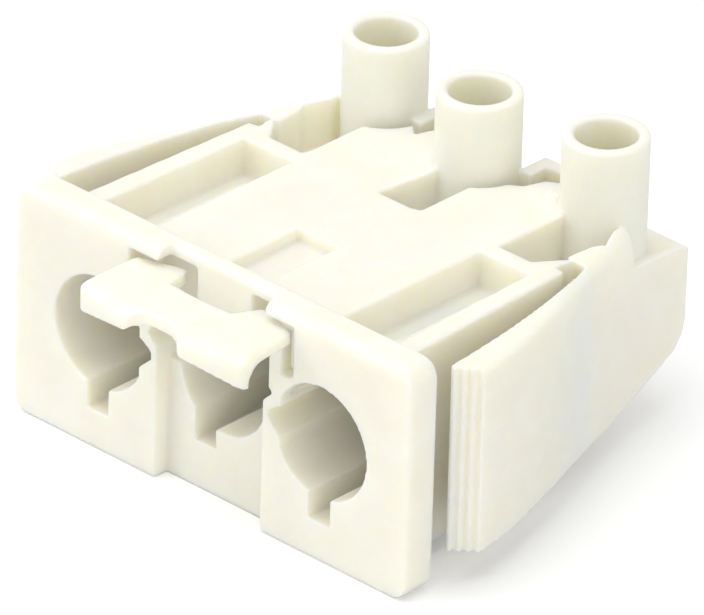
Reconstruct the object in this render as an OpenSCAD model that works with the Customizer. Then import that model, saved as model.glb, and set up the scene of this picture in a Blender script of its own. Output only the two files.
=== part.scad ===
// Three-pole snap-in connector housing, one ivory nylon moulding:
// keyed contact chambers behind a stepped flange, a rocking release latch on
// two flexible posts, two snap arms rooted at the rear and three screw sleeves.
// X runs across the poles, Y from the mating face to the wire side, Z up.

/* [Flange] */
// Width of the front flange
flange_w = 35.9; // [30:0.1:42]
// Height of the front flange
flange_h = 17.3; // [14:0.1:22]
// Thickness of the flange
flange_t = 2.55; // [1.5:0.05:4]
// Corner radius of the flange seen from the front
flange_corner = 1.5; // [0.5:0.1:3]
// Rounding of the flange's upper front edge
flange_brow = 0.85; // [0.2:0.05:1.2]
// Rounding of the flange's other front edges
flange_edge = 0.3; // [0.1:0.05:0.8]
// Depth of the set-back centre block
centre_step = 1.3; // [0.5:0.1:2]

/* [Poles] */
// Distance between pole axes
pitch = 10.1; // [8:0.1:12]
// Height of the contact axes above the base
axis_z = 8.9; // [7:0.1:11]
// Radius of the outer contact openings
contact_r = 4.1; // [3:0.05:4.5]
// Radius of the centre contact opening
centre_r = 3.87; // [3:0.05:4.5]
// Width of the keyways below the openings
keyway_w = 1.94; // [1:0.1:3]
// Height of the bottom of the outer keyways
keyway_z = 2.9; // [2:0.1:5]
// Depth of the contact chambers from the front
chamber_d = 14; // [8:0.5:18]
// Radius of the wire passages behind the chambers
wire_r = 2.85; // [1.5:0.05:3]
// Distance of the outer wire passages from the middle
wire_x = 9.4; // [8:0.1:10]

/* [Body] */
// Half width of the body at the flange
body_front = 15; // [12:0.1:17]
// Half width of the body where the snap arms root
body_rear = 14.3; // [12:0.1:17]
// Height of the underside of the body above the base
body_z = 1; // [0:0.1:3]
// Height of the top deck
deck_z = 16.24; // [14:0.1:20]
// Rear end of the housing
rear_y = 32.5; // [28:0.1:40]
// Height of the rear ledge the sleeves stand on
ledge_z = 12.6; // [10:0.1:15]

/* [Snap arms] */
// Height of the underside of the snap arms
arm_z = 2.5; // [1:0.1:5]
// Half spread of the arm tips
arm_spread = 19.6; // [17:0.1:22]
// Number of grip ribs on each arm tip
tip_ribs = 4; // [2:1:6]

/* [Screw sleeves] */
// Outer radius of the screw sleeves
sleeve_r = 2.95; // [2:0.05:4]
// Bore radius of the screw sleeves
bore_r = 2.145; // [1:0.05:3]
// Height of the sleeve tops
sleeve_z = 21.7; // [17:0.1:26]
// Y position of the outer sleeves
sleeve_y = 27.03; // [24:0.1:30]
// Y position of the centre sleeve
sleeve_mid_y = 25.5; // [22:0.1:29]
// Rounding of the sleeve rims
rim_edge = 0.25; // [0.1:0.05:0.35]

/* [Latch] */
// Thickness of the latch plate
latch_t = 1; // [0.6:0.05:1.6]
// Height of the latch's upper side at its waist
latch_z = 15.9; // [14:0.1:17]
// Top of the window the latch rocks in
window_z = 16.4; // [15:0.1:17]
// Width of the flexible posts
post_t = 1.0; // [0.5:0.1:1.5]
// Depth of the flexible posts
post_d = 1.2; // [0.8:0.1:2]

/* [Hidden] */
ivory = [0.93, 0.92, 0.86];
latch_white = [0.96, 0.96, 0.94];
front_y = -5.62;                      // foremost point, the latch lip
mid_y = (front_y + rear_y) / 2;       // the frame's Y origin
half_w = flange_w / 2;
sleeve_x = 10;
$fn = 64;

// points of an arc about [cx, cy]
function arc(cx, cy, r, a0, a1, n = 6) =
    [for (i = [0:n]) let (a = a0 + (a1 - a0) * i / n)
        [cx + r * cos(a), cy + r * sin(a)]];

// outline of a rounded rectangle
function rrect(x0, y0, x1, y1, r, n = 6) = concat(
    arc(x1 - r, y1 - r, r, 0, 90, n), arc(x0 + r, y1 - r, r, 90, 180, n),
    arc(x0 + r, y0 + r, r, 180, 270, n), arc(x1 - r, y0 + r, r, 270, 360, n));

// points of a cubic curve
function curve(a, b, c, d, n = 16) =
    [for (i = [0:n]) let (t = i / n, s = 1 - t)
        s * s * s * a + 3 * s * s * t * b + 3 * s * t * t * c + t * t * t * d];

function flip(pts) = [for (p = pts) [-p[0], p[1]]];
function turned(pts) = [for (i = [len(pts) - 1:-1:0]) pts[i]];

// a plan outline standing between two heights
module plan(z0, z1, pts) {
    translate([0, 0, z0]) linear_extrude(z1 - z0) polygon(pts);
}

// a side outline [y, z] running across the part
module side(x0, x1, pts) {
    translate([x0, 0, 0]) rotate([90, 0, 90])
        linear_extrude(x1 - x0) polygon(pts);
}

// a front outline [x, z] running along the poles
module front(y0, y1, pts) {
    translate([0, y1, 0]) rotate([90, 0, 0])
        linear_extrude(y1 - y0) polygon(pts);
}

module box(a, b) {
    translate(a) cube(b - a);
}

module both_sides() {
    children();
    mirror([1, 0, 0]) children();
}

// a bore along the poles
module run(x, z, r, y0, y1) {
    translate([x, y1, z]) rotate([90, 0, 0]) cylinder(h = y1 - y0, r = r);
}

// ---- flange -----------------------------------------------------------
module flange() {
    e = flange_edge;
    b = flange_brow;
    intersection() {
        front(0, flange_t,
            rrect(-half_w, 0, half_w, flange_h, flange_corner));
        side(-half_w - 1, half_w + 1, concat(
            arc(b, flange_h - b, b, 180, 90),
            arc(flange_t - e, flange_h - e, e, 90, 0, 3),
            [[flange_t, 0]], arc(e, e, e, 270, 180, 3)));
        plan(-1, flange_h + 1, concat(
            arc(half_w - e, e, e, 270, 360, 3), [[half_w, flange_t]],
            [[-half_w, flange_t]], arc(e - half_w, e, e, 180, 270, 3)));
    }
}

// the set-back centre block, with the nick where the posts spring from
module centre_relief() {
    right = [[4.85, -1], [4.85, 10], [5.68, 10.75], [5.35, 11.2],
             [5.35, window_z + 0.01]];
    front(-1, centre_step, concat(right, turned(flip(right))));
    box([-4.85, -1, 12], [4.85, centre_step, flange_h + 1]);
    // soft brow of the centre block
    side(-4.85, 4.85, concat([[centre_step - 1, flange_h + 1]],
        arc(centre_step + 0.5, flange_h - 0.5, 0.5, 90, 180, 4),
        [[centre_step - 1, flange_h - 0.5]]));
}

// the window the latch rocks in
module latch_window() {
    hip = concat(arc(7.0, 13.0, 0.5, 270, 360, 4), [[7.5, window_z]]);
    out = concat([[4.85, axis_z - 0.2], [4.85, 10], [5.68, 10.75],
        [5.35, 11.2], [5.35, 12.5]], hip);
    front(-1, 3.2, concat(out, turned(flip(out))));
    // freedom behind each post
    both_sides() box([5.2, post_d, 10.5], [6.6, 3.2, 12.6]);
}

// the tongue that hangs from the bridge behind the latch's waist
module bridge_tongue() {
    box([-2.5, centre_step, 14.0], [2.5, 3.3, window_z + 0.2]);
}

// ---- contact chambers -------------------------------------------------
module outer_chamber() {
    translate([pitch, 0, 0]) {
        difference() {
            run(0, axis_z, contact_r, -1, chamber_d);
            box([-6, -2, 0], [6.45 - pitch, chamber_d + 1, 18]);
        }
        box([-keyway_w / 2, -1, keyway_z],
            [keyway_w / 2, chamber_d - 0.5, axis_z]);
    }
    front(-1, chamber_d - 0.5, [[5.3, 8.85], [5.3, 9.4], [6.3, 10.05],
        [7.4, 10.05], [7.4, 7.6], [6.45, 7.8]]);
    run(wire_x, axis_z, wire_r, chamber_d - 0.5, rear_y + 1);
}

module centre_chamber() {
    run(0.1, axis_z - 0.05, centre_r, -1, chamber_d);
    box([-2.4, -1, 3.5], [-0.5, chamber_d - 0.5, axis_z]);
    run(0, axis_z, wire_r, chamber_d - 0.5, rear_y + 1);
}

// ---- body -------------------------------------------------------------
module body_block() {
    side_run = [[body_front, flange_t - 0.4], [body_rear, 18.45],
                [13.5, 18.5], [13.7, 20.1]];
    // chambers, with the underside lifting to meet the snap arms
    difference() {
        plan(body_z, ledge_z, concat(side_run, turned(flip(side_run))));
        side(-20, 20, [[16, 0], [16, body_z], [20.2, arm_z], [20.2, 0]]);
    }
    // deck, cut back in front of the sleeves
    deck = concat(side_run, [[13.06, 19.5], [11.9, 17.9], [8.97, 17.9],
        [8.97, 17.75], [1.6, 17.75], [1.6, 17.55]]);
    plan(ledge_z - 1, deck_z, concat(deck, turned(flip(deck))));
}

// pockets sunk into the top deck, with faint ridges on their floors
module deck_pockets() {
    floor_z = 13.5;
    difference() {
        plan(floor_z, deck_z + 1, [[8.5, flange_t], [13.35, flange_t],
            [13, 16.6], [8.5, 16.6]]);
        for (x = [10.0, 11.6])
            plan(floor_z - 1, floor_z + 0.2, [[x, flange_t + 1],
                [x + 0.35, flange_t + 1], [x + 0.35, 15.6], [x, 15.6]]);
    }
}

module centre_pocket() {
    box([-1.85, flange_t, deck_z - 1], [1.85, 10.2, deck_z + 1]);
}

// each finger of the deck runs back between two sleeves: it keeps clear
// of the sleeve on its left and joins the one on its right
module deck_finger(x0, left, right, x1) {
    clear = 3.7;
    a0 = 270 + asin((x0 - left[0]) / clear);
    a1 = 345;
    hug = arc(left[0], left[1], clear, a0, a1, 7);
    back = 25.2;
    plan(ledge_z - 1, deck_z, concat([[x0, 17.5]], hug,
        [[left[0] + 4.5, back], [left[0] + 5.0, back + 1.5],
         [left[0] + 5.9, back + 2.05], [right[0], back + 2.05],
         [right[0] - 1, right[1] - 2.4], [x1, 17.5]]));
}

module deck_fingers() {
    c1 = [-sleeve_x, sleeve_y];
    c2 = [0, sleeve_mid_y];
    c3 = [sleeve_x, sleeve_y];
    deck_finger(c1[0] + 1.3, c1, c2, -1.6);
    plan(ledge_z - 1, deck_z, [[-9.05, 17.5], [-8.07, 20.7],
        [-7.9, 23.4], [-6, 23.4], [-6, 17.5]]);
    deck_finger(2.1, c2, c3, 8.97);
    // trimmed moulding gate on the right finger
    translate([6.85, 25.4, deck_z - 0.1])
        cylinder(h = 0.4, r1 = 0.6, r2 = 0.45, $fn = 20);
}

// a low compartment closed by a thin wall behind each finger
module rear_walls() {
    for (x = [2.75, 2.75 - sleeve_x])
        plan(ledge_z - 1, deck_z, [[x, 26.6], [x + 1, 26.6],
            [x + 1, 28.25], [x + 4.4, 28.25], [x + 4.4, 29.25],
            [x, 29.25]]);
}

// ---- rear ledge and snap arms ----------------------------------------
arm_path = [[arm_spread, 5.6], [18.9, 13], [13.3, 22.5], [12.9, rear_y]];
arm_outer = [for (i = [0:24]) curve_at(i / 24)];
arm_inner = curve([17.68, 4.0], [17.35, 9], [16.3, 16], [14.75, 20.05], 12);

// the slanted arm tip with its upright grip ribs
function tip_face(a, b, n, d) = let (u = (b - a) / n,
        w = [u[1], -u[0]] * d / norm(u))
    [for (i = [0:n - 1], k = [0:3])
        a + u * (i + [0.1, 0.3, 0.7, 0.9][k]) + w * [0, 1, 1, 0][k]];

module arm_plan(z0, z1) {
    tip = tip_face(arm_inner[0], arm_outer[0], tip_ribs, 0.3);
    plan(z0, z1, concat(tip, arm_outer, [[0, rear_y], [0, 20.05]],
        [[13.7, 20.05]], turned(arm_inner)));
}

// width and drop of the soft upper edge, which grows towards the root
function brow_w(t) = 0.55 + 0.75 * t;
function brow_h(y) = y < 14 ? 0.5 : lookup(y, [[14, 0.5], [19.5, 0.95],
    [22, 1.4], [24.6, 2.4], [27.8, 2.9], [29.2, 3.3], [32.5, 3.9]]);

// everything outside the arm's soft upper edge, lofted along the arm
module brow_cutter() {
    n = 24;
    m = 6;
    rows = [for (i = [-1:n + 1]) let (
        p = curve_at(i / n), q = curve_at(i / n + 0.01),
        d = (q - p) / norm(q - p), out = [d[1], -d[0]],
        w = brow_w(min(1, max(0, i / n))), h = brow_h(p[1]))
        concat([for (k = [0:m]) let (a = 90 * k / m)
            [p[0] - out[0] * w * (1 - cos(a)),
             p[1] - out[1] * w * (1 - cos(a)),
             deck_z - h * (1 - sin(a))]],
            [[p[0] - out[0] * w, p[1] - out[1] * w, deck_z + 2],
             [p[0] + out[0] * 2, p[1] + out[1] * 2, deck_z + 2],
             [p[0] + out[0] * 2, p[1] + out[1] * 2, deck_z - h]])];
    c = m + 4;
    r = len(rows);
    polyhedron([for (row = rows) each row], concat(
        [[for (j = [0:c - 1]) j]],
        [[for (j = [c - 1:-1:0]) (r - 1) * c + j]],
        [for (i = [0:r - 2], j = [0:c - 1]) let (k = (j + 1) % c)
            each [[i * c + k, i * c + j, (i + 1) * c + j],
                  [i * c + k, (i + 1) * c + j, (i + 1) * c + k]]]));
}

function curve_at(t) = let (s = 1 - t) s * s * s * arm_path[0]
    + 3 * s * s * t * arm_path[1] + 3 * s * t * t * arm_path[2]
    + t * t * t * arm_path[3];

// profile that lifts the underside towards the rear
module underside_cut() {
    side(-25, 25, concat([[22.5, arm_z - 0.01]],
        curve([23.5, arm_z], [27, 3.0], [30.5, 4.0], [31.6, 4.9], 8),
        [[32.2, 5.6], [rear_y, 6.8], [rear_y + 2, 6.8], [rear_y + 2, -2],
         [20, -2], [20, arm_z - 0.01]]));
}

// the rear ledge slopes gently down behind the fins
module ledge_cut() {
    side(-25, 25, [[26, deck_z + 1], [26, 13.3], [31.9, ledge_z - 0.1],
        [rear_y, ledge_z - 0.5], [rear_y + 1, ledge_z - 0.5],
        [rear_y + 1, deck_z + 1]]);
}

module snap_arm() {
    difference() {
        arm_plan(arm_z, deck_z);
        // room for the sleeves and fingers
        box([-1, 20, ledge_z], [6, rear_y + 1, deck_z + 1]);
        box([-1, 24.9, ledge_z], [12.6, rear_y + 1, deck_z + 1]);
        ledge_cut();
        // the notch in front of the outer sleeve
        plan(ledge_z, deck_z + 1, [[5, 17.9], [11.9, 17.9],
            [13.06, 19.5], [13.25, 22.2], [13.64, 23.2], [12.8, 24.9],
            [12.8, 26.5], [5, 26.5]]);
        brow_cutter();
    }
}

// ---- screw sleeves ----------------------------------------------------
module sleeve(y) {
    e = rim_edge;
    translate([0, y, 0]) rotate_extrude()
        polygon(concat([[0, ledge_z - 2], [sleeve_r, ledge_z - 2]],
            arc(sleeve_r - e, sleeve_z - e, e, 0, 90, 4),
            [[0, sleeve_z]]));
}

// bore with a softened mouth
module sleeve_bore(x, y) {
    e = rim_edge;
    translate([x, y, 0]) {
        translate([0, 0, axis_z]) cylinder(h = sleeve_z, r = bore_r);
        rotate_extrude() polygon(concat([[0, sleeve_z + 1],
            [0, sleeve_z - e], [bore_r - 0.01, sleeve_z - e]],
            arc(bore_r + e, sleeve_z - e, e, 180, 90, 4),
            [[bore_r + e, sleeve_z + 1]]));
    }
}

// ---- latch ------------------------------------------------------------
// right half of the latch's outline seen from above
latch_plan = concat([[0, -0.95], [2.75, -0.95], [3.3, 0.9], [3.75, 1.7],
    [6.0, 0.55], [7.1, 0.2], [7.35, -2.8]],
    arc(6.75, -4.0, 0.85, 5, -70, 6), [[2.6, -5.62]],
    curve([2.3, -5.5], [1.75, -4.7], [1.2, -4.6], [0, -4.6], 5));
// direction of the lip that hangs along each lobe's front
lip_turn = atan2(1.0, 5.0);

// the lobe's section: crowned plate with a thin grip lip in front
module lobe_section() {
    z = latch_z;
    translate([2.6, -5.66, 0]) rotate([0, 0, lip_turn])
        side(-6, 8, concat(
            curve([0, z - 1.1], [0.02, z - 0.5], [0.35, z - 0.2],
                [1.3, z], 7),
            curve([2.4, z + 0.12], [4.2, z + 0.2], [6, z],
                [8.4, z - 0.55], 6),
            [[8.4, z - latch_t - 0.4], [5, z - latch_t + 0.05],
             [1.4, z - latch_t], [0.85, z - latch_t - 0.25],
             [0.6, z - latch_t - 0.6], [0.5, z - 2.6], [0, z - 2.6]]));
}

module latch_half() {
    z = latch_z;
    intersection() {
        plan(12, 18, concat(latch_plan, [[-0.01, -4.6], [-0.01, -0.95]]));
        // ends rounded over, lower edge falling outwards
        front(-8, 3, concat([[-0.1, z + 0.3], [5.9, z + 0.3]],
            curve([6.2, z + 0.12], [7.1, z + 0.05], [7.4, z - 0.3],
                [7.62, z - 1.0], 6),
            [[7.62, z - 2.4], [2.47, z - 1.5], [2.2, z - 1.25],
             [-0.1, z - 1.15]]));
        lobe_section();
    }
}

module latch() {
    both_sides() latch_half();
}

module latch_posts() {
    front(0, post_d, [[5.35, 11.2], [5.68, 10.75], [5.0, 10.05],
        [5.2, 9.9], [6.2, 10.0], [5.35 + post_t, 11.2],
        [5.35 + post_t, latch_z - 0.6], [5.35, latch_z - 0.6]]);
}

// ---- the moulding -----------------------------------------------------
module connector_housing() {
    color(ivory) difference() {
        union() {
            difference() {
                flange();
                centre_relief();
            }
            body_block();
            both_sides() snap_arm();
            deck_fingers();
            rear_walls();
            translate([sleeve_x, 0, 0]) sleeve(sleeve_y);
            translate([-sleeve_x, 0, 0]) sleeve(sleeve_y);
            sleeve(sleeve_mid_y);
        }
        latch_window();
        both_sides() outer_chamber();
        centre_chamber();
        both_sides() deck_pockets();
        centre_pocket();
        underside_cut();
        for (s = [-1, 1]) sleeve_bore(s * sleeve_x, sleeve_y);
        sleeve_bore(0, sleeve_mid_y);
    }
    color(ivory) bridge_tongue();
    color(ivory) both_sides() latch_posts();
    color(latch_white) latch();
}

module placed() {
    translate([0, -mid_y, 0]) children();
}

placed() connector_housing();
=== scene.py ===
"""Three-pole snap-in connector housing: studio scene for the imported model."""
import math
import bpy
from mathutils import Matrix, Vector


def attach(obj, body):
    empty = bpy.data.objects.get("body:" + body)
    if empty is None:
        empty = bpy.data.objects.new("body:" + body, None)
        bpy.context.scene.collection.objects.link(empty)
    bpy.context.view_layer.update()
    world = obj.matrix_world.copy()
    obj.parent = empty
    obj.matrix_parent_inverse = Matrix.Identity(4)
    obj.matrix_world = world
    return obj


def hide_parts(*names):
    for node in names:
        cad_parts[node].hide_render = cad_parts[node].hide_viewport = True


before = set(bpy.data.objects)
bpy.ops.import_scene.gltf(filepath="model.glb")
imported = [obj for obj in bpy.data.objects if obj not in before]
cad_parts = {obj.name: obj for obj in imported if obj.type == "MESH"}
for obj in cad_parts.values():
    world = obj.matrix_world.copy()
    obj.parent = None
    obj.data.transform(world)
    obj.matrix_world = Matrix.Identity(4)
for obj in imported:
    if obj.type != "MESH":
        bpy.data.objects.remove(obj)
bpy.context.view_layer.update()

MM = 0.001

# ---- camera ---------------------------------------------------------------
VIEW_AZIMUTH = 42.78         # degrees, 0 looks along +Y
VIEW_ELEVATION = 29.18       # degrees above the horizon
VIEW_ROLL = 1.645            # degrees, the picture leans clockwise
VIEW_DISTANCE = 753.24 * MM  # from the point looked at
VIEW_TARGET = Vector((0.0, 1.56, 9.0)) * MM
VIEW_OFFSET = (-0.945 * MM, 0.064 * MM)   # along the camera's right and up
LENS = 580.9                 # mm on a 36 mm wide sensor


def add_camera():
    a = math.radians(VIEW_AZIMUTH)
    e = math.radians(VIEW_ELEVATION)
    roll = math.radians(VIEW_ROLL)
    back = Vector((math.sin(a) * math.cos(e), -math.cos(a) * math.cos(e),
                   math.sin(e)))
    right = Vector((math.cos(a), math.sin(a), 0.0))
    up = back.cross(right)
    place = (VIEW_TARGET + right * VIEW_OFFSET[0] + up * VIEW_OFFSET[1]
             + back * VIEW_DISTANCE)
    cam_right = right * math.cos(roll) + up * math.sin(roll)
    cam_up = up * math.cos(roll) - right * math.sin(roll)
    data = bpy.data.cameras.new("camera")
    data.lens = LENS
    data.sensor_width = 36.0
    data.sensor_fit = "HORIZONTAL"
    data.clip_start = 0.05
    data.clip_end = 20.0
    cam = bpy.data.objects.new("camera", data)
    turn = Matrix((cam_right, cam_up, back)).transposed().to_4x4()
    cam.matrix_world = Matrix.Translation(place) @ turn
    bpy.context.scene.collection.objects.link(cam)
    bpy.context.scene.camera = cam


# ---- node helpers ---------------------------------------------------------
def srgb(r, g, b):
    """An 8-bit screen colour as linear RGBA."""
    def lin(v):
        v /= 255.0
        return v / 12.92 if v <= 0.04045 else ((v + 0.055) / 1.055) ** 2.4
    return (lin(r), lin(g), lin(b), 1.0)


def new_tree(tree):
    tree.nodes.clear()
    return tree.nodes, tree.links


def add(nodes, kind, **values):
    node = nodes.new(kind)
    for key, value in values.items():
        if key.startswith("in_"):
            node.inputs[key[3:].replace("_", " ")].default_value = value
        else:
            setattr(node, key, value)
    return node


# ---- materials ------------------------------------------------------------
def moulding_group():
    """Colour, roughness and normal of a fine-eroded nylon moulding."""
    tree = bpy.data.node_groups.new("nylon_moulding", "ShaderNodeTree")
    face = tree.interface
    for name in ("Light", "Deep"):
        face.new_socket(name, in_out="INPUT", socket_type="NodeSocketColor")
    face.new_socket("Grain", in_out="INPUT", socket_type="NodeSocketFloat")
    face.new_socket("Color", in_out="OUTPUT", socket_type="NodeSocketColor")
    face.new_socket("Roughness", in_out="OUTPUT",
                    socket_type="NodeSocketFloat")
    face.new_socket("Normal", in_out="OUTPUT",
                    socket_type="NodeSocketVector")
    n, l = new_tree(tree)
    given = add(n, "NodeGroupInput")
    out = add(n, "NodeGroupOutput")
    place = add(n, "ShaderNodeTexCoord")
    flow = add(n, "ShaderNodeTexNoise", in_Scale=260.0, in_Detail=4.0,
               in_Roughness=0.55, in_Distortion=0.6)
    grain = add(n, "ShaderNodeTexNoise", in_Scale=5200.0, in_Detail=3.0,
                in_Roughness=0.65)
    dents = add(n, "ShaderNodeTexNoise", in_Scale=420.0, in_Detail=2.0)
    for tex in (flow, grain, dents):
        l.new(place.outputs["Object"], tex.inputs["Vector"])
    spread = add(n, "ShaderNodeMapRange", in_From_Min=0.3, in_From_Max=0.7)
    l.new(flow.outputs["Fac"], spread.inputs["Value"])
    tint = add(n, "ShaderNodeMix", data_type="RGBA")
    l.new(spread.outputs["Result"], tint.inputs["Factor"])
    l.new(given.outputs["Light"], tint.inputs[6])
    l.new(given.outputs["Deep"], tint.inputs[7])
    l.new(tint.outputs[2], out.inputs["Color"])
    rough = add(n, "ShaderNodeMapRange", in_From_Min=0.3, in_From_Max=0.7,
                in_To_Min=0.42, in_To_Max=0.56)
    l.new(dents.outputs["Fac"], rough.inputs["Value"])
    l.new(rough.outputs["Result"], out.inputs["Roughness"])
    wide = add(n, "ShaderNodeBump", in_Strength=0.25,
               in_Distance=0.00006)
    l.new(dents.outputs["Fac"], wide.inputs["Height"])
    fine = add(n, "ShaderNodeBump", in_Distance=0.00001)
    l.new(given.outputs["Grain"], fine.inputs["Strength"])
    l.new(grain.outputs["Fac"], fine.inputs["Height"])
    l.new(wide.outputs["Normal"], fine.inputs["Normal"])
    l.new(fine.outputs["Normal"], out.inputs["Normal"])
    return tree


def nylon(name, light, deep, group):
    mat = bpy.data.materials.new(name)
    mat.use_nodes = True
    n, l = new_tree(mat.node_tree)
    look = add(n, "ShaderNodeGroup", node_tree=group)
    look.inputs["Light"].default_value = light
    look.inputs["Deep"].default_value = deep
    look.inputs["Grain"].default_value = 0.3
    skin = add(n, "ShaderNodeBsdfPrincipled")
    skin.inputs["IOR"].default_value = 1.5
    skin.inputs["Subsurface Weight"].default_value = 1.0
    skin.inputs["Subsurface Radius"].default_value = (1.0, 0.82, 0.42)
    skin.inputs["Subsurface Scale"].default_value = 1.4 * MM
    out = add(n, "ShaderNodeOutputMaterial")
    l.new(look.outputs["Color"], skin.inputs["Base Color"])
    l.new(look.outputs["Roughness"], skin.inputs["Roughness"])
    l.new(look.outputs["Normal"], skin.inputs["Normal"])
    l.new(skin.outputs["BSDF"], out.inputs["Surface"])
    return mat


# ---- housing --------------------------------------------------------------
VOXEL = 0.12 * MM
SOFTEN = 3          # smoothing passes that round the moulded edges
SHOWN_FACES = 180000


def soft_edged(node, name):
    """A copy of a CAD node whose edges are rounded as a moulding's are."""
    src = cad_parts[node]
    obj = bpy.data.objects.new(name, src.data.copy())
    bpy.context.scene.collection.objects.link(obj)
    remesh = obj.modifiers.new("remesh", "REMESH")
    remesh.mode = "VOXEL"
    remesh.voxel_size = VOXEL
    remesh.use_smooth_shade = True
    smooth = obj.modifiers.new("smooth", "SMOOTH")
    smooth.factor = 0.5
    smooth.iterations = SOFTEN
    apply_all(obj)
    faces = sum(len(p.vertices) - 2 for p in obj.data.polygons)
    if faces > SHOWN_FACES:
        thin = obj.modifiers.new("thin", "DECIMATE")
        thin.ratio = SHOWN_FACES / faces
        apply_all(obj)
    return obj


def apply_all(obj):
    graph = bpy.context.evaluated_depsgraph_get()
    mesh = bpy.data.meshes.new_from_object(obj.evaluated_get(graph))
    old = obj.data
    obj.modifiers.clear()
    obj.data = mesh
    bpy.data.meshes.remove(old)


def dress():
    group = moulding_group()
    ivory = nylon("ivory_nylon", srgb(244, 242, 232), srgb(241, 238, 224),
                  group)
    housing = soft_edged("connector_housing", "housing_moulding")
    housing.data.materials.clear()
    housing.data.materials.append(ivory)
    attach(housing, "root")
    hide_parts("connector_housing")


# ---- floor, world and lamps -----------------------------------------------
def white_floor():
    size = 1.5
    mesh = bpy.data.meshes.new("floor")
    mesh.from_pydata([(-size, -size, 0), (size, -size, 0),
                      (size, size, 0), (-size, size, 0)], [], [(0, 1, 2, 3)])
    floor = bpy.data.objects.new("floor", mesh)
    bpy.context.scene.collection.objects.link(floor)
    mat = bpy.data.materials.new("floor_white")
    mat.use_nodes = True
    n, l = new_tree(mat.node_tree)
    base = add(n, "ShaderNodeBsdfDiffuse")
    base.inputs["Color"].default_value = (0.86, 0.86, 0.86, 1)
    lift = add(n, "ShaderNodeEmission")
    lift.inputs["Strength"].default_value = 0.22
    path = add(n, "ShaderNodeLightPath")
    nothing = add(n, "ShaderNodeEmission")
    nothing.inputs["Strength"].default_value = 0.0
    seen = add(n, "ShaderNodeMixShader")
    both = add(n, "ShaderNodeAddShader")
    out = add(n, "ShaderNodeOutputMaterial")
    l.new(path.outputs["Is Camera Ray"], seen.inputs["Fac"])
    l.new(nothing.outputs[0], seen.inputs[1])
    l.new(lift.outputs[0], seen.inputs[2])
    l.new(base.outputs[0], both.inputs[0])
    l.new(seen.outputs[0], both.inputs[1])
    l.new(both.outputs[0], out.inputs["Surface"])
    mesh.materials.append(mat)


def white_world(strength):
    world = bpy.data.worlds.new("studio")
    bpy.context.scene.world = world
    world.use_nodes = True
    n, l = new_tree(world.node_tree)
    path = add(n, "ShaderNodeLightPath")
    shown = add(n, "ShaderNodeBackground", in_Strength=1.0)
    shown.inputs["Color"].default_value = (1, 1, 1, 1)
    light = add(n, "ShaderNodeBackground", in_Strength=strength)
    light.inputs["Color"].default_value = (1, 1, 1, 1)
    either = add(n, "ShaderNodeMath", operation="MAXIMUM")
    mix = add(n, "ShaderNodeMixShader")
    out = add(n, "ShaderNodeOutputWorld")
    l.new(path.outputs["Is Camera Ray"], either.inputs[0])
    l.new(path.outputs["Is Glossy Ray"], either.inputs[1])
    l.new(either.outputs[0], mix.inputs["Fac"])
    l.new(light.outputs[0], mix.inputs[1])
    l.new(shown.outputs[0], mix.inputs[2])
    l.new(mix.outputs[0], out.inputs["Surface"])


def softbox(name, place, aim, size, power):
    data = bpy.data.lights.new(name, "AREA")
    data.shape = "SQUARE"
    data.size = size
    data.energy = power
    lamp = bpy.data.objects.new(name, data)
    place = Vector(place)
    lamp.location = place
    lamp.rotation_euler = (Vector(aim) - place).to_track_quat(
        "-Z", "Y").to_euler()
    bpy.context.scene.collection.objects.link(lamp)


def studio():
    white_floor()
    white_world(0.62)
    centre = (0.0, 0.0, 0.01)
    softbox("top_box", (-0.05, -0.1, 0.55), centre, 0.5, 1.4)
    softbox("front_box", (-0.45, -0.5, 0.3), centre, 0.45, 1.2)
    softbox("side_box", (0.55, -0.25, 0.22), centre, 0.4, 0.7)
    bpy.context.scene.view_settings.view_transform = "Standard"


add_camera()
dress()
studio()
